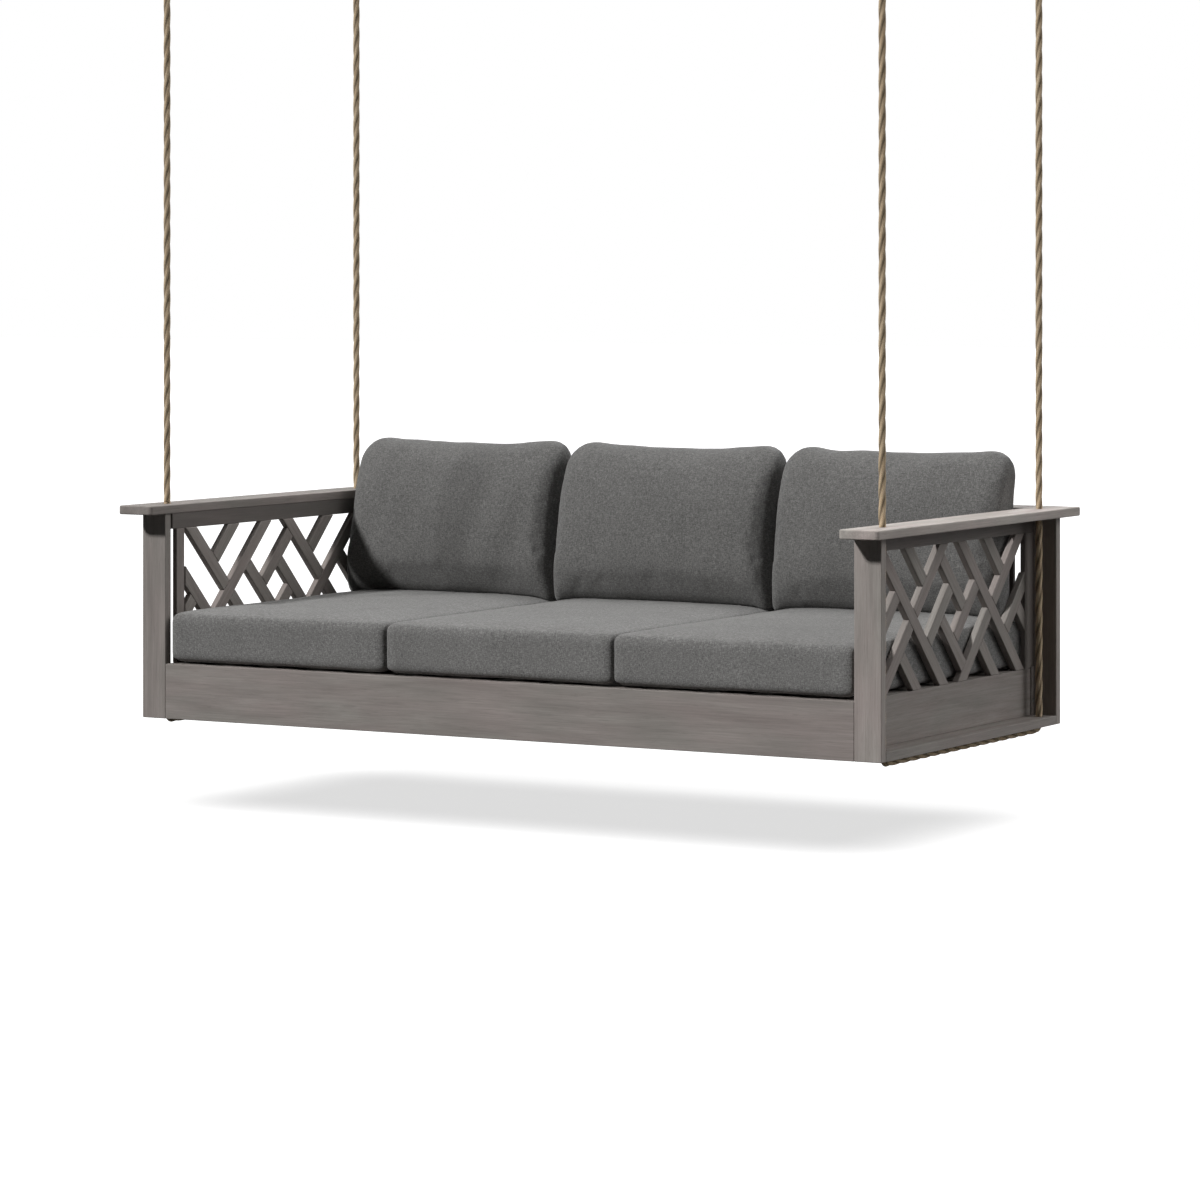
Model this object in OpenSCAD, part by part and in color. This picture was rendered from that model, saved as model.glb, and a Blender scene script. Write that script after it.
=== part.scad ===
// Hanging swing bed: a wooden three-seat bed with lattice ends and back, loose cushions,
// and two rope slings that carry it from four ceiling hangers.
// Origin: centre of the ceiling plane between the hangers. +X along the bed, +Y to its back, +Z up.

/* [Frame] */
// Length over the outer faces of the end posts
frame_len = 2246; // [1900:1:2600]
// Depth over the front and rear faces of the posts
frame_dep = 1094; // [950:1:1300]
// Height of the posts, from their feet to the underside of the arms
post_h = 558; // [480:1:640]
// Width of a post across its front face
post_w = 76; // [60:1:90]
// Thickness of a post from front to back
post_t = 27; // [20:1:40]
// Height of the front rail
rail_h = 150; // [130:1:180]
// Thickness of the side rails
side_rail_t = 27; // [18:1:40]
// Thickness of the rails behind the front rail and before the rear posts
inner_rail_t = 20; // [15:1:28]
// Height by which the rear rail stands above the side rails
rear_rail_rise = 5; // [0:1:12]
// Thickness of the sill plates under the ends
sill_t = 24; // [18:1:32]
// Width of the sill plates
sill_w = 104; // [98:1:130]

/* [Panels] */
// Distance from the outer faces of the posts to the end panels
panel_inset = 67; // [50:1:68]
// Thickness of the panel stiles and top rails
panel_t = 14; // [10:1:17]
// Width of the panel stiles
stile_w = 36; // [25:1:50]
// Height of the panel top rails
top_rail_h = 42; // [30:1:60]
// Space between the end panels and the outer stiles of the back panel
back_side_gap = 37; // [10:1:60]
// Number of bays in the back panel
back_bays = 3; // [2:1:4]

/* [Lattice] */
// Width of a lattice slat across its face
slat_w = 38; // [25:1:45]
// Thickness of a lattice slat
slat_t = 18; // [12:1:22]
// Distance between the centre lines of parallel slats
slat_pitch = 112; // [85:1:140]
// Distance of the pattern's centre from the middle of an end panel
lattice_shift = 14; // [0:1:30]
// Open joint where one slat meets another
slat_joint = 0.4; // [0.2:0.1:1]

/* [Arms] */
// Thickness of the armrests and the back cap
arm_t = 24; // [18:1:32]
// Overhang of an armrest beyond the outer faces of the posts
arm_out = 28; // [10:1:40]
// Overhang of an armrest beyond the inner faces of the posts
arm_in = 7; // [2:1:20]
// Overhang of an armrest beyond the front and rear faces of the posts
arm_end = 76; // [40:1:100]
// Radius of the armrest corners seen from above
arm_corner_r = 12; // [4:1:20]
// Overhang of the back cap in front of the rear rail
cap_front = 2; // [0:1:10]

/* [Deck] */
// Depth of the deck's top below the top of the front rail
deck_drop = 0; // [0:1:30]
// Thickness of a deck slat
deck_t = 19; // [15:1:25]
// Width of a deck slat
deck_slat_w = 90; // [60:1:110]
// Number of deck slats
deck_count = 14; // [10:1:16]
// Side of the square ledger under the rear ends of the deck slats
ledger_w = 30; // [20:1:45]
// Height of the beam under the middle of the deck slats
beam_h = 70; // [40:1:80]
// Thickness of the beam
beam_t = 27; // [20:1:40]
// Side of the blocks in the inner corners
block_w = 44; // [30:1:60]

/* [Cushions] */
// Number of seat cushions, and of back cushions
seats = 3; // [2:1:4]
// Thickness of a seat cushion at its edges
seat_t = 141; // [90:1:180]
// Rise of a seat cushion's crown
seat_crown = 13; // [4:1:25]
// Space between neighbouring cushions
cushion_gap = 4; // [2:1:12]
// Distance of the seat cushions behind the front face of the posts
seat_setback = 9; // [0:1:60]
// Height of a back cushion at its corners
back_h = 443; // [330:1:500]
// Width by which a back cushion is narrower than a seat cushion
back_narrower = 10; // [0:1:40]
// Thickness of a back cushion at its foot
back_t_foot = 181; // [150:1:240]
// Thickness of a back cushion at its top
back_t_top = 96; // [60:1:200]
// Swell of a back cushion's front face
back_crown = 24; // [5:1:35]
// Distance by which a back cushion's top leans over the back cap
back_lean = 22; // [0:1:25]

/* [Rope] */
// Diameter of the rope
rope_d = 19; // [14:1:24]
// Distance of the rope's axis from the outer faces of the posts
rope_in = 32; // [26:1:45]
// Distance of the rope's axis behind the front faces and before the rear faces of the posts
rope_back = 70; // [50:1:120]
// Radial space round the rope in the arm and sill holes
hole_space = 1.8; // [1.2:0.1:4]
// Bend radius of the rope under the sill, on its centre line
rope_bend_r = 24; // [20:1:28]

/* [Hangers] */
// Height of the ceiling above the feet of the posts
hang_h = 2225; // [1800:5:2600]
// Length of a ceiling plate, along X
plate_l = 110; // [90:1:150]
// Width of a ceiling plate, along Y
plate_w = 70; // [50:1:110]
// Thickness of a ceiling plate
plate_t = 6; // [4:0.5:10]
// Distance between the screw holes of a plate along X
hole_dx = 84; // [70:1:110]
// Distance between the screw holes of a plate along Y
hole_dy = 44; // [30:1:70]
// Diameter of the screw holes of a plate
hole_d = 9; // [5:0.5:12]
// Diameter of the hanger and link bolts
bolt_d = 10; // [8:1:12]
// Depth of the upper pivot below the ceiling
pivot_drop = 30; // [26:1:40]
// Distance between the two pivots of a link
link_len = 50; // [46:1:80]
// Inner diameter of the rope thimble
thimble_d = 28; // [24:1:40]

/* [Hidden] */
$fn = 48;

// General clearances
fit = 0.1;            // round parts that stay together
running_fit = 0.05;   // radial space of a bolt in a turning sleeve
touch_gap = 0.3;      // space between soft or moving pieces
over = 1;             // overshoot of a cutting solid

// Places worked out from the driving sizes. Bed pieces are drawn with the post feet at z = 0.
hx = frame_len / 2;
hy = frame_dep / 2;
post_in_x = hx - post_w;            // inner faces of the posts
post_back_y = hy - post_t;          // faces of the posts that look into the bed
panel_out_x = hx - panel_inset;     // outer faces of the side rails and end panels
panel_in_x = panel_out_x - panel_t; // inner faces of the stiles
slat_in_x = panel_out_x - slat_t;   // inner faces of the lattice slats
end_y = post_back_y - inner_rail_t; // ends of the side rails and end stiles
rear_rail_top = rail_h + rear_rail_rise;
arm_z = post_h;
arm_top = post_h + arm_t;
deck_top = rail_h - deck_drop;
deck_under = deck_top - deck_t;
lattice_top = post_h - top_rail_h;
back_panel_y = end_y + panel_t;     // rear faces of the back stiles
back_end_x = panel_in_x - back_side_gap;
rope_r = rope_d / 2;
rope_x = hx - rope_in;
rope_y = hy - rope_back;
hole_r = rope_r + hole_space;

wood = [0.47, 0.44, 0.42];
wood_dark = [0.40, 0.37, 0.35];
cloth = [0.35, 0.35, 0.35];
hemp = [0.66, 0.56, 0.42];
steel = [0.62, 0.62, 0.63];

// ---------- helpers ----------

// Box from one corner to the opposite one
module box(lo, hi) {
    translate(lo) cube(hi - lo);
}

// Everything on the bed, moved from the post feet to the ceiling origin
module bed() {
    translate([0, 0, -hang_h]) children();
}

function sign_of(v) = v < 0 ? -1 : 1;
function mod3(n) = ((n % 3) + 3) % 3;

// Flat outline with four rounded corners, centred on the origin
module rounded_plate(size, r, t) {
    union() {
        translate([-size[0] / 2 + r, -size[1] / 2, 0]) cube([size[0] - 2 * r, size[1], t]);
        translate([-size[0] / 2, -size[1] / 2 + r, 0]) cube([size[0], size[1] - 2 * r, t]);
        for (sx = [-1, 1], sy = [-1, 1])
            translate([sx * (size[0] / 2 - r), sy * (size[1] / 2 - r), 0]) cylinder(r = r, h = t);
    }
}

// ---------- posts, rails and sills ----------

module post(sx, sy) {
    color(wood) bed()
        box([min(sx * hx, sx * post_in_x), min(sy * hy, sy * post_back_y), 0],
            [max(sx * hx, sx * post_in_x), max(sy * hy, sy * post_back_y), post_h]);
}

module left_front_post() { post(-1, -1); }
module right_front_post() { post(1, -1); }
module left_rear_post() { post(-1, 1); }
module right_rear_post() { post(1, 1); }

module front_rail() {
    color(wood) bed() box([-post_in_x, -hy, 0], [post_in_x, -post_back_y, rail_h]);
}

// Carries the front ends of the deck slats and ties the front posts together
module front_inner_rail() {
    color(wood_dark) bed()
        box([-panel_out_x, -post_back_y, sill_t], [panel_out_x, -end_y, deck_under]);
}

// Ends of the rear rail, which runs past the side rails into the gaps before the rear posts
rail_end_x = panel_out_x + panel_t / 4;

module rear_rail() {
    color(wood) bed()
        box([-rail_end_x, end_y, sill_t], [rail_end_x, post_back_y, rear_rail_top]);
}

module side_rail(sx) {
    inner_x = panel_out_x - side_rail_t;
    color(wood) bed()
        box([min(sx * panel_out_x, sx * inner_x), -end_y, sill_t],
            [max(sx * panel_out_x, sx * inner_x), end_y, rail_h]);
}

module left_side_rail() { side_rail(-1); }
module right_side_rail() { side_rail(1); }

// Bell-mouthed hole: straight at the top, rounded over at the bottom for the rope's bend
module sill_hole() {
    flare_r = min(rope_bend_r - rope_r - touch_gap, sill_t - over);
    rotate_extrude() difference() {
        translate([0, -over]) square([hole_r + flare_r, sill_t + 2 * over]);
        translate([hole_r + flare_r, flare_r]) circle(r = flare_r);
        translate([hole_r, flare_r]) square([2 * flare_r, sill_t + 2 * over]);
    }
}

module sill(sx) {
    inner_x = hx - sill_w;
    color(wood) bed() difference() {
        box([min(sx * hx, sx * inner_x), -post_back_y, 0],
            [max(sx * hx, sx * inner_x), post_back_y, sill_t]);
        for (sy = [-1, 1]) translate([sx * rope_x, sy * rope_y, 0]) sill_hole();
    }
}

module left_sill() { sill(-1); }
module right_sill() { sill(1); }

// ---------- deck ----------

block_x = panel_out_x - side_rail_t;  // outer faces of the corner blocks

module corner_blocks() {
    color(wood_dark) bed() for (sx = [-1, 1], sy = [-1, 1]) {
        front_y = sy < 0 ? -end_y : end_y - block_w;
        low_x = sx < 0 ? -block_x : block_x - block_w;
        box([low_x, front_y, sill_t], [low_x + block_w, front_y + block_w, deck_under - ledger_w]);
    }
}

module rear_ledger() {
    color(wood_dark) bed()
        box([-block_x, end_y - ledger_w, deck_under - ledger_w], [block_x, end_y, deck_under]);
}

module centre_beam() {
    color(wood_dark) bed()
        box([-block_x, -beam_t / 2, deck_under - beam_h], [block_x, beam_t / 2, deck_under]);
}

deck_pitch = (2 * block_x - deck_slat_w - 2 * touch_gap) / (deck_count - 1);
function deck_x(i) = -block_x + touch_gap + deck_slat_w / 2 + i * deck_pitch;
deck_front_y = -post_back_y + touch_gap;
deck_rear_y = end_y - touch_gap;

module deck_slats() {
    color(wood_dark) bed() for (i = [0 : deck_count - 1])
        box([deck_x(i) - deck_slat_w / 2, deck_front_y, deck_under],
            [deck_x(i) + deck_slat_w / 2, deck_rear_y, deck_top]);
}

// Countersunk wood screw with its head's face at the origin, pointing down
module screw(length, head_r = 4.5, shank_r = 2.2) {
    union() {
        translate([0, 0, -head_r]) cylinder(r1 = shank_r, r2 = head_r, h = head_r);
        translate([0, 0, -length]) cylinder(r = shank_r, h = length - head_r + over / 10);
    }
}

screw_len = deck_t + 22;
end_screw_z = 62;                     // screw in each end of the rear rail, above the feet

// One screw at each end of every deck slat and of the rear rail, and two through each block
module frame_screws() {
    block_mid_z = (sill_t + deck_under - ledger_w) / 2;
    color(steel) bed() {
        for (i = [0 : deck_count - 1], y = [-end_y - inner_rail_t / 2, end_y - ledger_w / 2])
            translate([deck_x(i), y, deck_top]) screw(screw_len);
        for (sx = [-1, 1], sy = [-1, 1], dz = [-1, 1]) {
            z = block_mid_z + dz * block_w / 4;
            translate([sx * (block_x - block_w), sy * (end_y - block_w / 2), z])
                rotate([0, -sx * 90, 0]) screw(block_w + side_rail_t / 2);
        }
        for (sx = [-1, 1])
            translate([sx * rail_end_x, (end_y + post_back_y) / 2, end_screw_z])
                rotate([0, sx * 90, 0]) screw(screw_len);
    }
}

// ---------- panels ----------

module top_rail(sx) {
    color(wood) bed()
        box([min(sx * panel_out_x, sx * panel_in_x), -post_back_y, lattice_top],
            [max(sx * panel_out_x, sx * panel_in_x), post_back_y, post_h]);
}

module left_top_rail() { top_rail(-1); }
module right_top_rail() { top_rail(1); }

module back_top_rail() {
    color(wood) bed()
        box([-panel_in_x, end_y, lattice_top], [panel_in_x, post_back_y, post_h]);
}

// The rear stiles are wider above the rear rail's end, where they reach back to the posts
module end_stile(sx, low_y, high_y, low_z) {
    box([min(sx * panel_out_x, sx * panel_in_x), low_y, low_z],
        [max(sx * panel_out_x, sx * panel_in_x), high_y, lattice_top]);
}

module end_stiles(sx) {
    color(wood) bed() {
        end_stile(sx, -end_y, stile_w - end_y, rail_h);
        end_stile(sx, end_y - stile_w, end_y, rail_h);
        end_stile(sx, end_y - stile_w, post_back_y, rear_rail_top);
    }
}

module left_stiles() { end_stiles(-1); }
module right_stiles() { end_stiles(1); }

back_open_x = back_end_x - stile_w;               // inner edges of the outermost back stiles
bay_w = (2 * back_open_x - (back_bays - 1) * stile_w) / back_bays;
function bay_x(i) = -back_open_x + i * (bay_w + stile_w);

module back_stiles() {
    color(wood) bed() for (i = [0 : back_bays])
        box([bay_x(i) - stile_w, end_y, rear_rail_top], [bay_x(i), back_panel_y, lattice_top]);
}

// ---------- lattice ----------
// Slats at 45 degrees in two directions on one pitch. Falling slats have the index k, rising
// slats the index j. Every third falling slat runs through, and all the others stop against
// the slats that they meet, in a pattern that repeats after three pitches each way.

function fall_at(k) = (k - 2.5) * slat_pitch;
function rise_at(j) = -(j - 2.5) * slat_pitch;
lat_half = slat_w / 2 + slat_joint;

// Each piece is [falling?, place across, start, end], measured from the pattern's centre
function falling_pieces(k, j0, j1, reach) =
    mod3(k) == 1 ? [[true, fall_at(k), -reach, reach]]
    : [for (j = [j0 : j1]) if (mod3(j) == (mod3(k) == 2 ? 2 : 1))
          [true, fall_at(k), rise_at(j + 2) + lat_half, rise_at(j) - lat_half]];
function rising_pieces(j, k0, k1) =
    [for (k = [k0 : k1]) if (mod3(k) == (mod3(j) == 0 ? 2 : 1))
        [false, rise_at(j), fall_at(k) + lat_half,
         fall_at(k + (mod3(j) == 1 ? 3 : 2)) - lat_half]];

// Half the sum and half the difference turn pattern lines into lines of the opening
function cut_start(p, u0, u1, v0, v1) = let (q = p[1], r = sqrt(2))
    p[0] ? max(p[2], q - u1 * r, v0 * r - q) : max(p[2], u0 * r + q, v0 * r - q);
function cut_end(p, u0, u1, v0, v1) = let (q = p[1], r = sqrt(2))
    p[0] ? min(p[3], q - u0 * r, v1 * r - q) : min(p[3], u1 * r + q, v1 * r - q);

min_piece = 45;     // shorter pieces are left out
pattern_count = 12;  // slat lines tried on each side of the pattern's centre

// Lattice that fills an opening u0..u1 by v0..v1 round the pattern's centre, drawn flat,
// with its face at z = slat_t. k_range and j_range limit the slats that it may have.
module lattice(u0, u1, v0, v1, k_range, j_range) {
    reach = u1 - u0 + v1 - v0;
    wide = [-pattern_count, pattern_count];
    pieces = concat(
        [for (k = [k_range[0] : k_range[1]])
            each falling_pieces(k, wide[0], wide[1], reach)],
        [for (j = [j_range[0] : j_range[1]]) each rising_pieces(j, wide[0], wide[1])]);
    kept = [for (p = pieces)
        if (cut_end(p, u0, u1, v0, v1) - cut_start(p, u0, u1, v0, v1) > min_piece) p];
    for (p = kept) intersection() {
        translate([u0, v0, 0]) cube([u1 - u0, v1 - v0, slat_t]);
        rotate([0, 0, 45])
            if (p[0]) translate([p[1] - slat_w / 2, p[2], 0]) cube([slat_w, p[3] - p[2], slat_t]);
            else translate([p[2], p[1] - slat_w / 2, 0]) cube([p[3] - p[2], slat_w, slat_t]);
    }
}

end_ks = [0, 5];
open_half = end_y - stile_w;
lattice_mid_z = (rail_h + lattice_top) / 2;

// The two end lattices are one part, turned half a turn about the upright axis
module end_lattice() {
    half_h = lattice_top - lattice_mid_z;
    translate([0, lattice_shift, lattice_mid_z]) rotate([90, 0, 90])
        translate([0, 0, slat_in_x])
            lattice(-open_half - lattice_shift, open_half - lattice_shift,
                    -half_h, half_h, end_ks, end_ks);
}

module left_lattice() { color(wood) bed() rotate([0, 0, 180]) end_lattice(); }
module right_lattice() { color(wood) bed() end_lattice(); }

module back_lattice() {
    low_z = rear_rail_top;
    mid_z = (low_z + lattice_top) / 2;
    half_h = (lattice_top - low_z) / 2;
    color(wood) bed() for (i = [0 : back_bays - 1])
        translate([bay_x(i) + bay_w / 2, back_panel_y, mid_z]) rotate([90, 0, 0])
            lattice(-bay_w / 2, bay_w / 2, -half_h, half_h,
                    [-pattern_count, pattern_count], [-pattern_count, pattern_count]);
}

// ---------- arms and cap ----------

arm_w = post_w + arm_out + arm_in;
arm_len = frame_dep + 2 * arm_end;
arm_mid_x = hx + arm_out - arm_w / 2;
hole_flare = 2;  // chamfer round the top of an arm hole

module armrest(sx) {
    color(wood) bed() difference() {
        translate([sx * arm_mid_x, 0, arm_z]) rounded_plate([arm_w, arm_len], arm_corner_r, arm_t);
        for (sy = [-1, 1]) translate([sx * rope_x, sy * rope_y, arm_z]) {
            translate([0, 0, -over]) cylinder(r = hole_r, h = arm_t + 2 * over);
            translate([0, 0, arm_t - hole_flare])
                cylinder(r1 = hole_r, r2 = hole_r + hole_flare + over, h = hole_flare + over);
        }
    }
}

module left_armrest() { armrest(-1); }
module right_armrest() { armrest(1); }

module back_cap() {
    cap_x = post_in_x - arm_in;
    color(wood) bed()
        box([-cap_x, end_y - cap_front, arm_z], [cap_x, hy + arm_end, arm_top]);
}

// ---------- cushions ----------
// A cushion is drawn lying on its rear face, as a stack of rings from the middle of the rear
// face to the middle of the front face. Its outline is a rounded box, drawn in between the
// corners. Its foot is at -y and its top at +y.

corner_steps = 6;   // points round a corner of the outline
side_steps = 5;     // steps between two corners
cushion_points = 4 * (corner_steps + side_steps - 1);
edge_turns = [0, 30, 60, 90];
inner_rings = [0.72, 0.45, 0.2];
lean_power = 4;     // a leaning cushion stays upright up to the cap

function corner_arc(cx, cy, r, from) =
    [for (k = [0 : corner_steps - 1])
        let (t = from + 90 * k / (corner_steps - 1)) [cx + r * cos(t), cy + r * sin(t)]];
function between(p, q) = [for (k = [1 : side_steps - 1]) p + (q - p) * k / side_steps];

// Counterclockwise from the lower right corner
function rounded_outline(a, b, r_low, r_high) =
    let (arcs = [corner_arc(a - r_low, r_low - b, r_low, -90),
                 corner_arc(a - r_high, b - r_high, r_high, 0),
                 corner_arc(r_high - a, b - r_high, r_high, 90),
                 corner_arc(r_low - a, r_low - b, r_low, 180)],
         last = corner_steps - 1)
    [for (k = [0 : 3]) each concat(arcs[k], between(arcs[k][last], arcs[(k + 1) % 4][0]))];

// draws = [sides, foot, top]
function drawn_in(p, a, b, draws) =
    [p[0] - draws[0] * p[0] / a * (1 - pow(p[1] / b, 2)),
     p[1] - (p[1] < 0 ? draws[1] : draws[2]) * p[1] / b * (1 - pow(p[0] / a, 2))];

// [scale along x, scale along y, depth below the face] of the rings of one face, rim first
function face_rings(a, b, edge_r) = concat(
    [for (t = edge_turns) [1 - edge_r * (1 - cos(t)) / a, 1 - edge_r * (1 - cos(t)) / b,
                           edge_r * (1 - sin(t))]],
    [for (s = inner_rings) [s, s, 0]]);

function swell(x, y, a, b, power) =
    max(0, 1 - pow(abs(x / a), power)) * max(0, 1 - pow(abs(y / b), power));

// thick = [at the foot, at the top, power of the change], bulge = [crown, power], and foot_rise
// is the crown of the seat under the foot
function cushion_point(p, ring, a, b, thick, bulge, lean, foot_rise, front) =
    let (x = p[0] * ring[0], y = p[1] * ring[1], up = max(0, (y + b) / (2 * b)),
         t = thick[0] - (thick[0] - thick[1]) * pow(up, thick[2]),
         face = front ? t - ring[2] + bulge[0] * swell(x, y, a, b, bulge[1]) : ring[2],
         z = face - lean * pow(up, lean_power),
         rise = foot_rise * swell(x, seat_dep / 2 - z, a, seat_dep / 2, seat_power))
    [x, y + rise * (1 - up), z];

module cushion(size, radii, edge_r, draws, thick, bulge, lean = 0, foot_rise = 0) {
    a = size[0] / 2;
    b = size[1] / 2;
    outline = [for (p = rounded_outline(a, b, radii[0], radii[1])) drawn_in(p, a, b, draws)];
    rings = face_rings(a, b, edge_r);
    n = len(rings);
    back = [for (k = [n - 1 : -1 : 0], p = outline)
        cushion_point(p, rings[k], a, b, thick, bulge, lean, foot_rise, false)];
    front = [for (k = [0 : n - 1], p = outline)
        cushion_point(p, rings[k], a, b, thick, bulge, lean, foot_rise, true)];
    middle = [0, 0, 0];
    first = cushion_point([0, 0], middle, a, b, thick, bulge, lean, foot_rise, false);
    final = cushion_point([0, 0], middle, a, b, thick, bulge, lean, foot_rise, true);
    points = concat([first], back, front, [final]);
    m = cushion_points;
    last = len(points) - 1;
    sides = [for (k = [0 : 2 * n - 2], i = [0 : m - 1])
        let (p = 1 + k * m + i, q = 1 + k * m + (i + 1) % m)
        each [[p, q + m, q], [p, p + m, q + m]]];
    caps = [for (i = [0 : m - 1])
        each [[0, 1 + i, 1 + (i + 1) % m],
              [last, last - m + (i + 1) % m, last - m + i]]];
    polyhedron(points = points, faces = concat(sides, caps));
}

seat_span = 2 * (slat_in_x - touch_gap) + cushion_gap;
seat_w = seat_span / seats - cushion_gap;
seat_pitch_x = seat_span / seats;
back_face_y = back_panel_y - slat_t;              // front faces of the back lattice
seat_front_y = -hy + seat_setback;
seat_dep = back_face_y - cushion_gap - seat_front_y;
seat_corner_r = 18;
seat_edge_r = 16;
seat_draw = 4;
seat_power = 4;

// place counts the seats from the left, starting at 0
function seat_x(place) = (place - (seats - 1) / 2) * seat_pitch_x;

module seat_cushion(place) {
    color(cloth) bed()
        translate([seat_x(place), seat_front_y + seat_dep / 2, deck_top + touch_gap])
            cushion([seat_w, seat_dep], [seat_corner_r, seat_corner_r], seat_edge_r,
                    [seat_draw, seat_draw, seat_draw], [seat_t, seat_t, 1],
                    [seat_crown, seat_power]);
}

back_corner_low = 22;
back_corner_high = 72;
back_edge_r = 32;
back_draw = 5;
back_top_draw = 11;
back_bend = 2.5;
back_swell_power = 3;
foot_gap = 3;                                     // between the feet and the crowned seats
back_foot_z = deck_top + touch_gap + seat_t + foot_gap;

module back_cushion(place) {
    color(cloth) bed()
        translate([seat_x(place), back_face_y - cushion_gap, back_foot_z + back_h / 2])
            rotate([90, 0, 0])
                cushion([seat_w - back_narrower, back_h], [back_corner_low, back_corner_high],
                        back_edge_r, [back_draw, 0, back_top_draw],
                        [back_t_foot, back_t_top, back_bend],
                        [back_crown, back_swell_power], back_lean, seat_crown);
}

module left_seat_cushion() { seat_cushion(0); }
module middle_seat_cushion() { seat_cushion((seats - 1) / 2); }
module right_seat_cushion() { seat_cushion(seats - 1); }
module left_back_cushion() { back_cushion(0); }
module middle_back_cushion() { back_cushion((seats - 1) / 2); }
module right_back_cushion() { back_cushion(seats - 1); }

// ---------- rope ----------

rope_sides = 12;

// Tube in a plane of constant x. Each stop is [y, z, direction of travel in degrees, radius],
// where 0 degrees is +Y and 90 degrees is +Z.
module rope_tube(x, stops) {
    rings = len(stops);
    points = [for (s = stops, i = [0 : rope_sides - 1])
        let (t = 360 * i / rope_sides)
        [x + s[3] * cos(t), s[0] - s[3] * sin(t) * sin(s[2]), s[1] + s[3] * sin(t) * cos(s[2])]];
    sides = [for (k = [0 : rings - 2], i = [0 : rope_sides - 1])
        let (p = k * rope_sides + i, q = k * rope_sides + (i + 1) % rope_sides)
        each [[p, q, q + rope_sides], [p, q + rope_sides, p + rope_sides]]];
    first = [for (i = [1 : rope_sides - 2]) [0, i + 1, i]];
    base = (rings - 1) * rope_sides;
    final = [for (i = [1 : rope_sides - 2]) [base, base + i, base + i + 1]];
    polyhedron(points = points, faces = concat(sides, first, final));
}

ring_step = 3 * rope_d;

// The sling runs down through the front arm and sill holes, under the sill and up again
sling_top = arm_top - rope_r - 3 * touch_gap;
sling_z = -rope_r - touch_gap;
bend_z = sling_z + rope_bend_r;
bend_turns = [15, 30, 45, 60, 75];

function sling_stops() =
    let (down_n = ceil((sling_top - bend_z) / ring_step),
         run = 2 * (rope_y - rope_bend_r),
         run_n = ceil(run / ring_step))
    concat(
        [for (i = [0 : down_n])
            [-rope_y, sling_top + (bend_z - sling_top) * i / down_n, -90, rope_r]],
        [for (t = bend_turns)
            [-rope_y + rope_bend_r * (1 - cos(t)), bend_z - rope_bend_r * sin(t), t - 90, rope_r]],
        [for (i = [0 : run_n])
            [-run / 2 + run * i / run_n, sling_z, 0, rope_r]],
        [for (t = bend_turns)
            [run / 2 + rope_bend_r * sin(t), bend_z - rope_bend_r * cos(t), t, rope_r]],
        [for (i = [0 : down_n])
            [rope_y, bend_z + (sling_top - bend_z) * i / down_n, 90, rope_r]]);

module left_rope_sling() { color(hemp) bed() rope_tube(-rope_x, sling_stops()); }
module right_rope_sling() { color(hemp) bed() rope_tube(rope_x, sling_stops()); }

// Pivots, measured from the ceiling
upper_z = -pivot_drop;                       // hanger bolt
lower_z = upper_z - link_len;                // link bolt
bolt_r = bolt_d / 2;
thimble_r = thimble_d / 2;
thimble_wall = 3;
eye_r = thimble_r + thimble_wall + rope_r + touch_gap;   // centre line of the rope's eye
eye_z = lower_z - (thimble_r - bolt_r - fit);            // centre of the eye
eye_throat = 70;                             // from the eye's centre to where its sides meet
splice_len = 105;                            // from the eye's centre to the end of the splice
splice_top = 50;                             // from the eye's centre to the top of the splice
splice_r = 17;                               // radius of the splice at its top
splice_end_z = eye_z - splice_len;
foot_z = arm_top - hang_h;                   // pivot of the rope on the arm's top face

// Straight rope from its splice to the arm hole. The foot is a half ball, or on the rope that
// carries the bend piece a half cup over it.
cup_r = rope_r + touch_gap;
ball_turns = [20, 40, 60, 80];
cup_steps = [0.35, 0.6, 0.85, 0.99];

function leg_stops(y, cup) =
    let (low = cup ? foot_z + cup_steps[0] * cup_r : foot_z,
         n = ceil((splice_end_z - low) / ring_step))
    concat(
        cup ? [for (k = [len(cup_steps) - 1 : -1 : 1])
                  [y, foot_z + cup_steps[k] * cup_r, 90, cup_r * sqrt(1 - pow(cup_steps[k], 2))]]
            : [for (k = [len(ball_turns) - 1 : -1 : 0])
                  [y, foot_z - rope_r * sin(ball_turns[k]), 90, rope_r * cos(ball_turns[k])]],
        [for (i = [0 : n]) [y, low + (splice_end_z - low) * i / n, 90, rope_r]]);

module rope_leg(sx, sy, cup = false) {
    color(hemp) rope_tube(sx * rope_x, leg_stops(sy * rope_y, cup));
}

module left_front_rope() { rope_leg(-1, -1, true); }
module right_front_rope() { rope_leg(1, -1); }
module left_rear_rope() { rope_leg(-1, 1); }
module right_rear_rope() { rope_leg(1, 1); }

// Short stretch of rope that bends in the mouth of the left front arm hole
module rope_bend() {
    color(hemp) translate([-rope_x, -rope_y, foot_z]) sphere(r = rope_r - touch_gap);
}

// Eye round the thimble, closed by a tapered splice
module rope_eye(sx, sy) {
    half = asin(eye_r / eye_throat);            // between a side of the eye and the rope's axis
    side_len = eye_throat * cos(half);
    side_r = rope_r - touch_gap;
    color(hemp) translate([sx * rope_x, sy * rope_y, eye_z]) union() {
        rotate([90, 0, 0]) rotate_extrude() translate([eye_r, 0]) circle(r = rope_r);
        for (s = [-1, 1]) translate([0, 0, -eye_throat]) rotate([0, s * half, 0])
            cylinder(r = side_r, h = side_len);
        translate([0, 0, -splice_len])
            cylinder(r1 = rope_r + over, r2 = splice_r, h = splice_len - splice_top);
    }
}

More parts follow.
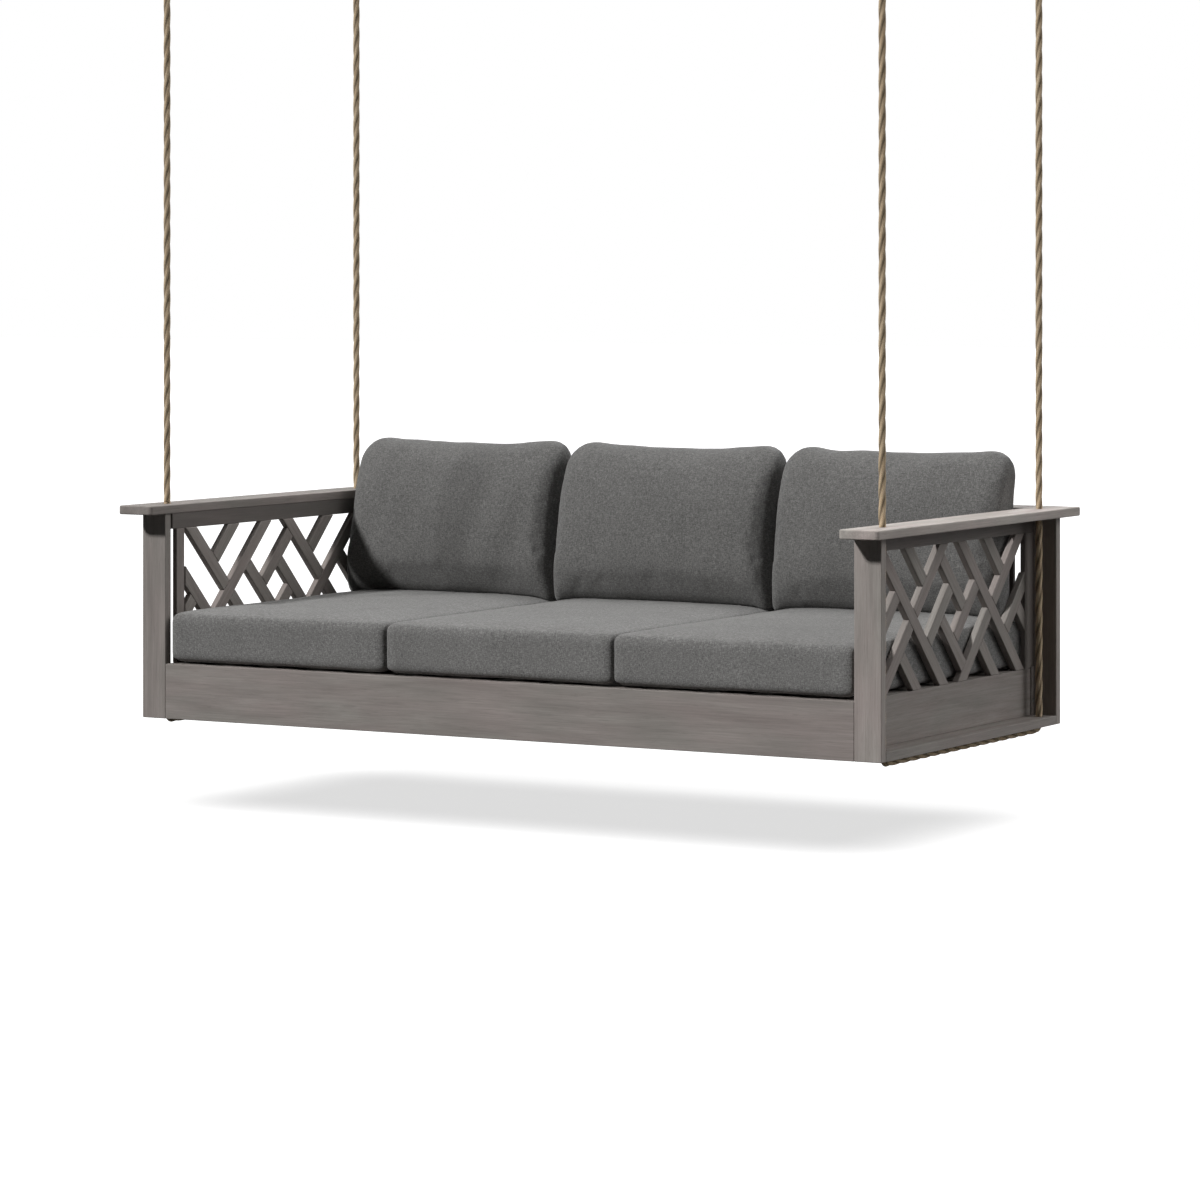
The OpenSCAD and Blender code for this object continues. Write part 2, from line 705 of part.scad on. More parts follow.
module left_front_eye() { rope_eye(-1, -1); }
module right_front_eye() { rope_eye(1, -1); }
module left_rear_eye() { rope_eye(-1, 1); }
module right_rear_eye() { rope_eye(1, 1); }

// Grooved steel ring that keeps the rope off the link bolt
module thimble(sx, sy) {
    rim = 5;
    half_w = rope_r + 1;
    color(steel) translate([sx * rope_x, sy * rope_y, eye_z]) rotate([90, 0, 0])
        rotate_extrude() difference() {
            translate([thimble_r, -half_w]) square([thimble_wall + rim, 2 * half_w]);
            translate([eye_r, 0]) circle(r = rope_r + touch_gap);
        }
}

module left_front_thimble() { thimble(-1, -1); }
module right_front_thimble() { thimble(1, -1); }
module left_rear_thimble() { thimble(-1, 1); }
module right_rear_thimble() { thimble(1, 1); }

// ---------- hangers ----------

ear_t = 6;
ear_r = 15;
sleeve_half = 13;                             // half the width of a link across its upper pivot
ear_in = sleeve_half + 1;                     // inner faces of the bracket's ears
fork_in = rope_r + 2;                         // inner faces of the link's fork
fork_out = fork_in + ear_t;
head_h = 6;
head_r = bolt_r * 1.8;

// Hexagon bolt along +X through the origin, between two outer faces at a distance of half
module hex_bolt(half) {
    rotate([0, 90, 0]) union() {
        translate([0, 0, -half - head_h]) cylinder(r = head_r, h = head_h, $fn = 6);
        translate([0, 0, -half - over]) cylinder(r = bolt_r, h = 2 * half + head_h + 4 * over);
        translate([0, 0, half]) cylinder(r = head_r, h = head_h, $fn = 6);
    }
}

module bracket() {
    difference() {
        union() {
            translate([-plate_l / 2, -plate_w / 2, -plate_t]) cube([plate_l, plate_w, plate_t]);
            for (s = [-1, 1]) translate([s * (ear_in + ear_t / 2), 0, 0]) {
                translate([-ear_t / 2, -ear_r, upper_z])
                    cube([ear_t, 2 * ear_r, -upper_z - plate_t / 2]);
                translate([-ear_t / 2, 0, upper_z]) rotate([0, 90, 0]) cylinder(r = ear_r, h = ear_t);
            }
        }
        translate([-plate_l / 2, 0, upper_z]) rotate([0, 90, 0])
            cylinder(r = bolt_r + fit, h = plate_l);
        for (sx = [-1, 1], sy = [-1, 1])
            translate([sx * hole_dx / 2, sy * hole_dy / 2, -plate_t - over])
                cylinder(d = hole_d, h = plate_t + 2 * over);
    }
}

module hanger_brackets() {
    color(steel) for (sx = [-1, 1], sy = [-1, 1])
        translate([sx * rope_x, sy * rope_y, 0]) bracket();
}

module hanger_bolts() {
    color(steel) for (sx = [-1, 1], sy = [-1, 1])
        translate([sx * rope_x, sy * rope_y, upper_z]) hex_bolt(ear_in + ear_t + fit);
}

// Sleeve on the hanger bolt, with a fork below it that is turned a quarter turn
module link(sx, sy) {
    sleeve_r = bolt_r + 6;
    bridge_low = eye_z + eye_r + rope_r + 3;     // clear of the rope over the thimble
    fork_r = sleeve_half;
    color(steel) translate([sx * rope_x, sy * rope_y, 0]) difference() {
        union() {
            translate([-sleeve_half, 0, upper_z]) rotate([0, 90, 0])
                cylinder(r = sleeve_r, h = 2 * sleeve_half);
            translate([-sleeve_half, -fork_out, bridge_low])
                cube([2 * sleeve_half, 2 * fork_out, upper_z - bolt_r - bridge_low]);
            for (s = [-1, 1]) translate([0, s * (fork_in + ear_t / 2), 0]) {
                translate([-fork_r, -ear_t / 2, lower_z])
                    cube([2 * fork_r, ear_t, bridge_low - lower_z + over]);
                translate([0, ear_t / 2, lower_z]) rotate([90, 0, 0])
                    cylinder(r = fork_r, h = ear_t);
            }
        }
        translate([-sleeve_half - over, 0, upper_z]) rotate([0, 90, 0])
            cylinder(r = bolt_r + running_fit, h = 2 * (sleeve_half + over));
        translate([0, fork_out + over, lower_z]) rotate([90, 0, 0])
            cylinder(r = bolt_r + fit, h = 2 * (fork_out + over));
    }
}

module left_front_link() { link(-1, -1); }
module right_front_link() { link(1, -1); }
module left_rear_link() { link(-1, 1); }
module right_rear_link() { link(1, 1); }

module link_bolt(sx, sy) {
    color(steel) translate([sx * rope_x, sy * rope_y, lower_z]) rotate([0, 0, 90])
        hex_bolt(fork_out + fit);
}

module left_front_link_bolt() { link_bolt(-1, -1); }
module right_front_link_bolt() { link_bolt(1, -1); }
module left_rear_link_bolt() { link_bolt(-1, 1); }
module right_rear_link_bolt() { link_bolt(1, 1); }

left_front_post();
right_front_post();
left_rear_post();
right_rear_post();
front_rail();
front_inner_rail();
rear_rail();
left_side_rail();
right_side_rail();
left_sill();
right_sill();
corner_blocks();
rear_ledger();
centre_beam();
deck_slats();
frame_screws();
left_top_rail();
right_top_rail();
back_top_rail();
left_stiles();
right_stiles();
back_stiles();
left_lattice();
right_lattice();
back_lattice();
left_armrest();
right_armrest();
back_cap();
left_seat_cushion();
middle_seat_cushion();
right_seat_cushion();
left_back_cushion();
middle_back_cushion();
right_back_cushion();
left_rope_sling();
right_rope_sling();
left_front_rope();
right_front_rope();
left_rear_rope();
right_rear_rope();
left_front_eye();
right_front_eye();
left_rear_eye();
right_rear_eye();
left_front_thimble();
right_front_thimble();
left_rear_thimble();
right_rear_thimble();
left_front_link();
right_front_link();
left_rear_link();
right_rear_link();
left_front_link_bolt();
right_front_link_bolt();
left_rear_link_bolt();
right_rear_link_bolt();
rope_bend();
hanger_brackets();
hanger_bolts();
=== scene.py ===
"""Hanging swing bed: camera, ropes, cushions, woodwork, steel, floor and light."""

import math

import bmesh
import bpy
from mathutils import Matrix, Vector, noise
from mathutils.bvhtree import BVHTree


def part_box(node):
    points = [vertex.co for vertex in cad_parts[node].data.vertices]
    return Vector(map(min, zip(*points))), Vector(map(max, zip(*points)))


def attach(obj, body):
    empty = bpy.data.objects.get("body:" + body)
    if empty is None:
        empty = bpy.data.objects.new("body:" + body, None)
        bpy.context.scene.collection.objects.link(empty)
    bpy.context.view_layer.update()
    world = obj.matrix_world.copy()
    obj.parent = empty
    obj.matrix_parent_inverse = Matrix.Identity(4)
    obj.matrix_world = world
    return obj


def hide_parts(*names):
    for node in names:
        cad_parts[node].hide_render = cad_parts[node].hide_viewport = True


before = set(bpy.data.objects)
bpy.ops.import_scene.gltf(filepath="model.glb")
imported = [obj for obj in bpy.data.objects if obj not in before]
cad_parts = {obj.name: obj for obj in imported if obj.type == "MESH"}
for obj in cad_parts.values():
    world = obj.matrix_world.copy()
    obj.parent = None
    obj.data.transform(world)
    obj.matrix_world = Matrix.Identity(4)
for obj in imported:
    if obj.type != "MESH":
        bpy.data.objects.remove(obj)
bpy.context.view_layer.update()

MM = 0.001
CORNERS = {"left_front": (-1, -1), "right_front": (1, -1), "left_rear": (-1, 1), "right_rear": (1, 1)}

# ---------- places taken from the frame ----------

feet_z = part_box("left_front_post")[0][2]      # feet of the posts
arm_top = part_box("right_armrest")[1][2]       # top face of the arms


def middle(node):
    low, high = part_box(node)
    return (Vector(low) + Vector(high)) / 2


# ---------- camera ----------

# Taken from the photograph's vanishing points: it looks level, a little under 30 degrees to the
# left of straight back, and its frame is shifted down so that uprights stay upright.
CAMERA_TURN = 0.51997                          # radians
CAMERA_PLACE = (5.95375, -10.3901, feet_z + 1.24036)
CAMERA_LENS = 132.28                           # mm, on a sensor 36 mm wide
CAMERA_SHIFT = -0.28026                        # of the frame's height

camera_data = bpy.data.cameras.new("camera")
camera_data.sensor_width = 36
camera_data.lens = CAMERA_LENS
camera_data.shift_y = CAMERA_SHIFT
camera_data.clip_end = 200
camera = bpy.data.objects.new("camera", camera_data)
camera.location = CAMERA_PLACE
camera.rotation_euler = (math.pi / 2, 0, CAMERA_TURN)
bpy.context.scene.collection.objects.link(camera)
bpy.context.scene.camera = camera


# ---------- making materials ----------

def node_adder(tree):
    """A helper that adds a node to the tree, with its inputs as links or values."""
    def add(kind, inputs=(), **settings):
        node = tree.nodes.new(kind)
        for key, value in settings.items():
            setattr(node, key, value)
        for key, value in dict(inputs).items():
            if isinstance(value, bpy.types.NodeSocket):
                tree.links.new(value, node.inputs[key])
            else:
                node.inputs[key].default_value = value
        return node

    return add


def new_material(name):
    """A material with its node tree, its Principled shader, and a helper that adds nodes."""
    material = bpy.data.materials.new(name)
    material.use_nodes = True
    tree = material.node_tree
    return material, tree, tree.nodes["Principled BSDF"], node_adder(tree)


def larger(add, first, second):
    return add("ShaderNodeMath", {0: first, 1: second}, operation="MAXIMUM").outputs[0]


def seen_directly(add):
    """1 for what the camera sees, also reflected or through glass, and 0 for what lights the object."""
    rays = add("ShaderNodeLightPath").outputs
    seen = larger(add, rays["Is Camera Ray"], rays["Is Glossy Ray"])
    return larger(add, seen, rays["Is Transmission Ray"])


def ramp(add, factor, stops):
    """A colour ramp from (place, brightness or colour) stops."""
    node = add("ShaderNodeValToRGB", {"Fac": factor})
    elements = node.color_ramp.elements
    while len(elements) < len(stops):
        elements.new(0.5)
    for element, (place, colour) in zip(elements, stops):
        element.position = place
        if not hasattr(colour, "__len__"):
            colour = (colour, colour, colour)
        element.color = (*colour, 1)
    return node.outputs["Color"]


def mix(add, kind, factor, first, second):
    node = add("ShaderNodeMix", data_type="RGBA", blend_type=kind)
    tree = node.id_data
    for socket, value in ((node.inputs[0], factor), (node.inputs[6], first), (node.inputs[7], second)):
        if isinstance(value, bpy.types.NodeSocket):
            tree.links.new(value, socket)
        else:
            socket.default_value = value
    return node.outputs[2]


def stretched(add, vector, scale):
    return add("ShaderNodeVectorMath", {0: vector, 1: scale}, operation="MULTIPLY").outputs[0]


# ---------- rope ----------

ROPE_D = 19 * MM
ROPE_LAY = 180 * MM          # one full turn of a strand, three times the spacing seen
STRAND_PLACE = 0.47          # of the rope's radius, from its axis to a strand's axis
STRAND_R = 0.53
GROOVE_FILL = 0.5            # how far the fibres fill the grooves between the strands
ROPE_POINTS = 42             # round the rope
ROPE_STEP = 5 * MM
TIP_LEAST = 0.03             # least square of the radius share at a rounded tip
EYE_STEPS = 40               # round an eye


def strand_radius(turn):
    """Radius of a three-strand rope at an angle, as a share of its own radius."""
    third = 2 * math.pi / 3
    off = (turn + third / 2) % third - third / 2
    side = STRAND_PLACE * math.sin(off)
    return STRAND_PLACE * math.cos(off) + math.sqrt(STRAND_R ** 2 - side ** 2)


def resampled(path, step):
    """The path with points about a step apart, kept on its straight stretches."""
    points = [path[0]]
    for a, b in zip(path, path[1:]):
        count = max(1, round((b - a).length / step))
        points += [a.lerp(b, (i + 1) / count) for i in range(count)]
    return points


def rope_piece(name, path, radius=ROPE_D / 2, radius_at=None, start=0.0, lay=ROPE_LAY):
    """Three twisted strands along a path, as one closed mesh. start is the length of rope before
    the path, which sets where its strands begin. radius_at(share) may swell or taper it."""
    points = resampled(path, ROPE_STEP)
    bm = bmesh.new()
    along = bm.verts.layers.float_vector.new("lay")
    tangents = []
    for i in range(len(points)):
        a, b = points[max(0, i - 1)], points[min(len(points) - 1, i + 1)]
        tangents.append((b - a).normalized())
    up = Vector((1, 0, 0))
    if abs(tangents[0].x) > 0.9:
        up = Vector((0, 1, 0))
    normal = (up - tangents[0] * up.dot(tangents[0])).normalized()
    length = start
    rings = []
    for i, (point, tangent) in enumerate(zip(points, tangents)):
        if i:
            length += (point - points[i - 1]).length
            normal = (normal - tangent * normal.dot(tangent)).normalized()
        side = tangent.cross(normal)
        size = radius * (radius_at(i / (len(points) - 1)) if radius_at else 1)
        ring = []
        for k in range(ROPE_POINTS):
            turn = 2 * math.pi * k / ROPE_POINTS
            share = strand_radius(turn)
            angle = turn + 2 * math.pi * length / lay
            reach = size * (share + GROOVE_FILL * (1 - share))
            offset = (normal * math.cos(angle) + side * math.sin(angle)) * reach
            vert = bm.verts.new(point + offset)
            # The third value, the strand's radius share, later darkens the grooves between strands as painted
            # shade.
            vert[along] = (3 * k / ROPE_POINTS, length * 1000, share)
            ring.append(vert)
        rings.append(ring)
    for low, high in zip(rings, rings[1:]):
        for k in range(ROPE_POINTS):
            n = (k + 1) % ROPE_POINTS
            bm.faces.new((low[k], low[n], high[n], high[k])).smooth = True
    bm.faces.new(rings[0][::-1])
    bm.faces.new(rings[-1])
    mesh = bpy.data.meshes.new(name)
    bm.to_mesh(mesh)
    bm.free()
    piece = bpy.data.objects.new(name, mesh)
    bpy.context.scene.collection.objects.link(piece)
    mesh.materials.append(rope_material)
    return piece


def make_rope_material():
    material, tree, shader, add = new_material("rope_fibre")
    lay = add("ShaderNodeAttribute", attribute_name="lay").outputs["Vector"]
    parts = add("ShaderNodeSeparateXYZ", {0: lay})
    # Yarns run along the rope, so they cross each strand at a slant
    slant = add("ShaderNodeMath", {0: parts.outputs["Y"], 1: 0.055}, operation="MULTIPLY").outputs[0]
    across = add("ShaderNodeMath", {0: parts.outputs["X"], 1: slant}, operation="ADD").outputs[0]
    yarn_at = add("ShaderNodeCombineXYZ", {"X": across, "Y": slant})
    yarns = add("ShaderNodeTexWave", {"Vector": yarn_at.outputs[0], "Scale": 2.6, "Distortion": 1.2,
                                      "Detail": 3, "Detail Scale": 3}, bands_direction="X")
    place = add("ShaderNodeTexCoord").outputs["Object"]
    fibre = add("ShaderNodeTexNoise", {"Vector": stretched(add, place, (900, 900, 160)),
                                       "Scale": 1, "Detail": 4, "Roughness": 0.7})
    tone = add("ShaderNodeTexNoise", {"Vector": place, "Scale": 14, "Detail": 2})
    # The grooves between the strands are darkened: painted shade.
    painted_groove_shade = ramp(add, parts.outputs["Z"], [(0.55, 0.12), (0.78, 0.48), (1.0, 1.0)])
    colour = ramp(add, yarns.outputs["Fac"], [(0.1, (0.360, 0.250, 0.150)),
                                              (0.55, (0.630, 0.475, 0.305)),
                                              (0.95, (0.900, 0.740, 0.520))])
    colour = mix(add, "MULTIPLY", 0.85, colour, painted_groove_shade)
    colour = mix(add, "OVERLAY", 0.45, colour, fibre.outputs["Fac"])
    colour = mix(add, "OVERLAY", 0.35, colour, tone.outputs["Fac"])
    tree.links.new(colour, shader.inputs["Base Color"])
    height = add("ShaderNodeMath", {0: yarns.outputs["Fac"], 1: fibre.outputs["Fac"]}, operation="ADD")
    bump = add("ShaderNodeBump", {"Height": height.outputs[0], "Strength": 0.55, "Distance": 0.0006})
    tree.links.new(bump.outputs[0], shader.inputs["Normal"])
    shader.inputs["Roughness"].default_value = 0.85
    shader.inputs["Specular IOR Level"].default_value = 0.2
    return material


rope_material = make_rope_material()

FOOT_Z = arm_top                               # pivot of each rope in its arm hole


def leg(corner):
    """The straight rope between an arm and its splice."""
    node = corner + "_rope"
    low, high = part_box(node)
    x, y, _ = middle(node)
    top = high[2]
    foot = low[2]
    path = [Vector((x, y, foot)), Vector((x, y, top))]
    reach = top - foot
    tip = ROPE_D / 2

    def rounded(share):
        up = share * reach
        if low[2] > FOOT_Z or up > tip:
            return 1
        return math.sqrt(max(TIP_LEAST, 1 - (1 - up / tip) ** 2))

    piece = rope_piece(node + "_strands", path, radius_at=rounded)
    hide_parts(node)
    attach(piece, corner + "_leg")
    return piece, path


def eye(corner):
    """The spliced eye over a leg: rope round the thimble, and its tucked, tapering tail."""
    node = corner + "_eye"
    low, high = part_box(node)
    thimble_low, thimble_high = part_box(corner + "_thimble")
    x, y, _ = middle(node)
    centre = Vector((x, y, (thimble_low[2] + thimble_high[2]) / 2))
    ring = high[2] - centre.z - ROPE_D / 2      # radius of the rope's centre line
    throat = centre.z - low[2] - 38 * MM
    half = math.asin(ring / throat)
    turn = [math.pi + half - (math.pi + 2 * half) * i / EYE_STEPS for i in range(EYE_STEPS + 1)]
    path = [centre + Vector((-4 * MM, 0, -throat))]
    path += [centre + Vector((ring * math.cos(a), 0, ring * math.sin(a))) for a in turn]
    path += [centre + Vector((4 * MM, 0, -throat))]
    loop = rope_piece(node + "_loop", path, lay=120 * MM)
    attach(loop, corner + "_leg")
    splice_top = centre.z - throat + 22 * MM
    splice = rope_piece(node + "_splice", [Vector((x, y, low[2])), Vector((x, y, splice_top))],
                        radius_at=lambda s: 1.03 + 0.62 * s + 0.05 * math.sin(s * 30), lay=100 * MM)
    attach(splice, corner + "_leg")
    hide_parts(node)
    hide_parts(node)
    return loop, splice


for corner in CORNERS:
    leg_piece, leg_path = leg(corner)
    eye_pieces = eye(corner)

# The stretch of the left front rope that bends in the mouth of its hole
ball_x, ball_y, ball_z = middle("rope_bend")
ball_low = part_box("rope_bend")[0][2]
BALL_FULL = 0.7              # share of the stretch above which it has the rope's full radius


def ball_radius(share):
    return math.sqrt(max(TIP_LEAST, 1 - (1 - share * 1.42) ** 2)) if share < BALL_FULL else 1


ball_path = [Vector((ball_x, ball_y, z)) for z in (ball_low, ball_z + 4 * MM)]
ball = rope_piece("rope_bend_strands", ball_path, radius_at=ball_radius)
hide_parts("rope_bend")
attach(ball, "bend")

SLING_BEND = 24 * MM         # radius of the bends under the sill
BEND_STEPS = 10


def sling(side):
    """The rope that runs down through the front holes, under the sill and up again."""
    node = side + "_rope_sling"
    low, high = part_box(node)
    x = middle(node).x
    front, back = low[1] + ROPE_D / 2, high[1] - ROPE_D / 2
    top, bottom = high[2], low[2] + ROPE_D / 2
    path = [Vector((x, front, top)), Vector((x, front, bottom + SLING_BEND))]
    turns = [math.pi / 2 * i / BEND_STEPS for i in range(1, BEND_STEPS)]
    path += [Vector((x, front + SLING_BEND * (1 - math.cos(a)), bottom + SLING_BEND * (1 - math.sin(a))))
             for a in turns]
    path += [Vector((x, front + SLING_BEND, bottom)), Vector((x, back - SLING_BEND, bottom))]
    path += [Vector((x, back - SLING_BEND * (1 - math.sin(a)), bottom + SLING_BEND * (1 - math.cos(a))))
             for a in turns]
    path += [Vector((x, back, bottom + SLING_BEND)), Vector((x, back, top))]
    piece = rope_piece(node + "_strands", path)
    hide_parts(node)
    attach(piece, "bed")


sling("left")
sling("right")


# ---------- wood ----------

def make_wood_material(name, dark, light):
    """Stained boards. The grain attribute runs along each board, then across it and through it."""
    material, tree, shader, add = new_material(name)
    grain = add("ShaderNodeAttribute", attribute_name="grain").outputs["Vector"]
    tone = add("ShaderNodeAttribute", attribute_name="tone").outputs["Fac"]
    wear = add("ShaderNodeAttribute", attribute_name="wear").outputs["Fac"]
    drift = add("ShaderNodeTexNoise", {"Vector": stretched(add, grain, (1.4, 5, 5)), "Scale": 1, "Detail": 2})
    rings_at = add("ShaderNodeVectorMath", {0: stretched(add, grain, (1.3, 42, 42)),
                                            1: stretched(add, drift.outputs["Color"], (0, 5, 5))},
                   operation="ADD").outputs[0]
    streaks = add("ShaderNodeTexNoise", {"Vector": rings_at, "Scale": 1, "Detail": 5, "Roughness": 0.6})
    lines = add("ShaderNodeTexNoise", {"Vector": stretched(add, grain, (4.5, 210, 210)),
                                       "Scale": 1, "Detail": 3, "Roughness": 0.7})
    fibres = add("ShaderNodeTexNoise", {"Vector": stretched(add, grain, (14, 620, 620)),
                                        "Scale": 1, "Detail": 3, "Roughness": 0.75})
    pores = add("ShaderNodeTexNoise", {"Vector": stretched(add, grain, (30, 640, 640)),
                                       "Scale": 1, "Detail": 1})
    blotch = add("ShaderNodeTexNoise", {"Vector": stretched(add, grain, (6, 17, 17)),
                                        "Scale": 1, "Detail": 3})
    hue = add("ShaderNodeTexNoise", {"Vector": stretched(add, grain, (3.2, 11, 11)), "Scale": 1, "Detail": 2})
    halfway = tuple((d + l) / 2 for d, l in zip(dark, light))
    base = ramp(add, streaks.outputs["Fac"], [(0.25, dark), (0.50, halfway), (0.75, light)])
    base = mix(add, "OVERLAY", 0.34, base, lines.outputs["Fac"])
    base = mix(add, "OVERLAY", 0.28, base, fibres.outputs["Fac"])
    base = mix(add, "OVERLAY", 0.22, base, blotch.outputs["Fac"])
    tint = ramp(add, hue.outputs["Fac"], [(0.35, (0.955, 1.0, 0.985)), (0.65, (1.03, 0.99, 1.0))])
    base = mix(add, "MULTIPLY", 1.0, base, tint)
    flecks = ramp(add, pores.outputs["Fac"], [(0.27, 0.55), (0.37, 1.0)])
    base = mix(add, "MULTIPLY", 0.45, base, flecks)
    knot_at = add("ShaderNodeTexVoronoi", {"Vector": stretched(add, grain, (2.4, 12, 12)), "Scale": 1,
                                           "Randomness": 1}, feature="F1")
    knots = ramp(add, knot_at.outputs["Distance"], [(0.035, 0.5), (0.075, 1.0)])
    base = mix(add, "MULTIPLY", 0.4, base, knots)
    # The tone attribute scales each board's colour: random from board to board, and for some nodes painted
    # light and painted shade.
    base = mix(add, "MULTIPLY", 1.0, base, tone)
    # The rounded edges are mixed towards a brighter wood colour: mostly a painted highlight along the edges,
    # partly rubbed edges.
    wear_and_highlight_share = add("ShaderNodeMath", {0: wear, 1: 0.16}, operation="MULTIPLY").outputs[0]
    base = mix(add, "MIX", wear_and_highlight_share, base, (*(min(1, c * 1.9) for c in light), 1))
    tree.links.new(base, shader.inputs["Base Color"])
    rough = add("ShaderNodeMapRange", {"Value": fibres.outputs["Fac"], "To Min": 0.52, "To Max": 0.72})
    tree.links.new(rough.outputs[0], shader.inputs["Roughness"])
    height = add("ShaderNodeMath", {0: fibres.outputs["Fac"], 1: streaks.outputs["Fac"]}, operation="ADD")
    bump = add("ShaderNodeBump", {"Height": height.outputs[0], "Strength": 0.30, "Distance": 0.0005})
    tree.links.new(bump.outputs[0], shader.inputs["Normal"])
    shader.inputs["Specular IOR Level"].default_value = 0.14
    return material


wood_material = make_wood_material("stained_wood", (0.168, 0.149, 0.138), (0.260, 0.235, 0.220))
# A darker copy of the stain for the parts inside the frame: painted shade.
shaded_inner_wood = make_wood_material("stained_wood_painted_shade", (0.118, 0.103, 0.095), (0.176, 0.156, 0.145))

BOARD_TURNS = (Matrix.Identity(3), Matrix.Rotation(math.pi / 4, 3, "X"), Matrix.Rotation(math.pi / 4, 3, "Y"))


def board_frame(verts):
    """The turn and the order of axes in which a board fills its own box best, longest axis first."""
    best = None
    for turn in BOARD_TURNS:
        local = [turn @ v.co for v in verts]
        spans = [max(p[i] for p in local) - min(p[i] for p in local) for i in range(3)]
        order = sorted(range(3), key=lambda i: -spans[i])
        volume = spans[0] * spans[1] * spans[2]
        if best is None or volume < best[0] * 0.98:
            best = (volume, turn, order)
    return best[1], best[2]


def islands(bm):
    """The separate boards of one node."""
    seen, groups = set(), []
    for start in bm.verts:
        if start in seen:
            continue
        group, stack = [], [start]
        seen.add(start)
        while stack:
            vert = stack.pop()
            group.append(vert)
            for edge in vert.link_edges:
                other = edge.other_vert(vert)
                if other not in seen:
                    seen.add(other)
                    stack.append(other)
        groups.append(group)
    return groups


def boards(node, edge=2 * MM, material=wood_material, tone=1.0, spread=0.07):
    """The boards of a CAD node with rounded edges, and grain along each of them."""
    bm = bmesh.new()
    bm.from_mesh(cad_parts[node].data)
    bmesh.ops.remove_doubles(bm, verts=bm.verts, dist=1e-5)
    bmesh.ops.dissolve_limit(bm, angle_limit=math.radians(0.3), verts=bm.verts, edges=bm.edges)
    sharp = [e for e in bm.edges if len(e.link_faces) == 2 and e.calc_face_angle() > math.radians(60)]
    rounded = bmesh.ops.bevel(bm, geom=sharp, offset=edge, segments=3, profile=0.5, affect="EDGES",
                              clamp_overlap=False)
    grain = bm.verts.layers.float_vector.new("grain")
    tone_and_light_layer = bm.verts.layers.float.new("tone")
    wear = bm.verts.layers.float.new("wear")
    # The rounded edge faces are marked for the painted edge highlight, which also stands for slightly rubbed
    # edges.
    for face in rounded["faces"]:
        for vert in face.verts:
            vert[wear] = 1
    for number, group in enumerate(islands(bm)):
        turn, order = board_frame(group)
        seed = Vector((sum(map(ord, node)) * 0.37 + number * 1.71, number * 0.83, 0.29))
        # Each board gets its node's tone, which for some nodes holds painted light and painted shade, varied
        # at random from board to board.
        shade = tone * (1 + spread * noise.noise(seed * 3.1))
        for vert in group:
            local = turn @ vert.co
            vert[grain] = Vector(local[i] for i in order) + seed
            vert[tone_and_light_layer] = shade
    for face in bm.faces:
        face.smooth = True
    mesh = bpy.data.meshes.new(node + "_boards")
    bm.to_mesh(mesh)
    bm.free()
    mesh.set_sharp_from_angle(angle=math.radians(50))
    piece = bpy.data.objects.new(node + "_boards", mesh)
    bpy.context.scene.collection.objects.link(piece)
    normals = piece.modifiers.new("even_faces", "WEIGHTED_NORMAL")
    normals.keep_sharp = True
    mesh.materials.append(material)
    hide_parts(node)
    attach(piece, "bed")
    return piece


# The right posts are made lighter than the left ones: painted light from the right.
for corner, (side, _) in CORNERS.items():
    boards(corner + "_post", edge=2.5 * MM, tone=1.07 if side < 0 else 1.36)
for node in ("front_rail", "left_side_rail", "right_side_rail", "rear_rail"):
    boards(node, edge=2 * MM)
for node in ("left_sill", "right_sill"):
    boards(node, edge=2 * MM)
# The top rails are darkened: painted shade.
for node, tone in (("left_top_rail", 0.35), ("right_top_rail", 0.52), ("back_top_rail", 0.52)):
    boards(node, edge=1.5 * MM, tone=tone)
# The stiles are darkened: painted shade.
for node in ("left_stiles", "right_stiles", "back_stiles"):
    boards(node, edge=1.5 * MM, tone=0.85)
for node in ("left_lattice", "right_lattice", "back_lattice"):
    boards(node, edge=2.5 * MM, tone=1.04)
boards("left_armrest", edge=3.5 * MM, tone=1.02)
# The right armrest is made much lighter: partly a lighter board, partly painted light from the right.
boards("right_armrest", edge=3.5 * MM, tone=1.85)
# The back cap is lightened: painted light on a cap that lies in the cushions' shadow.
boards("back_cap", edge=3.5 * MM, tone=1.3)
for node in ("front_inner_rail", "corner_blocks", "rear_ledger", "centre_beam", "deck_slats"):
    boards(node, edge=1.5 * MM, material=shaded_inner_wood)


# ---------- steel ----------

def make_steel_material():
    material, tree, shader, add = new_material("galvanised_steel")
    place = add("ShaderNodeTexCoord").outputs["Object"]
    spangle = add("ShaderNodeTexVoronoi", {"Vector": place, "Scale": 160}, feature="F1")
    cloud = add("ShaderNodeTexNoise", {"Vector": place, "Scale": 60, "Detail": 4})
    colour = ramp(add, spangle.outputs["Color"], [(0.1, (0.46, 0.47, 0.48)), (0.9, (0.62, 0.63, 0.64))])
    colour = mix(add, "OVERLAY", 0.3, colour, cloud.outputs["Fac"])
    tree.links.new(colour, shader.inputs["Base Color"])
    rough = add("ShaderNodeMapRange", {"Value": cloud.outputs["Fac"], "To Min": 0.32, "To Max": 0.55})
    tree.links.new(rough.outputs[0], shader.inputs["Roughness"])
    bump = add("ShaderNodeBump", {"Height": cloud.outputs["Fac"], "Strength": 0.12, "Distance": 0.0003})
    tree.links.new(bump.outputs[0], shader.inputs["Normal"])
    shader.inputs["Metallic"].default_value = 1.0
    return material


steel_material = make_steel_material()


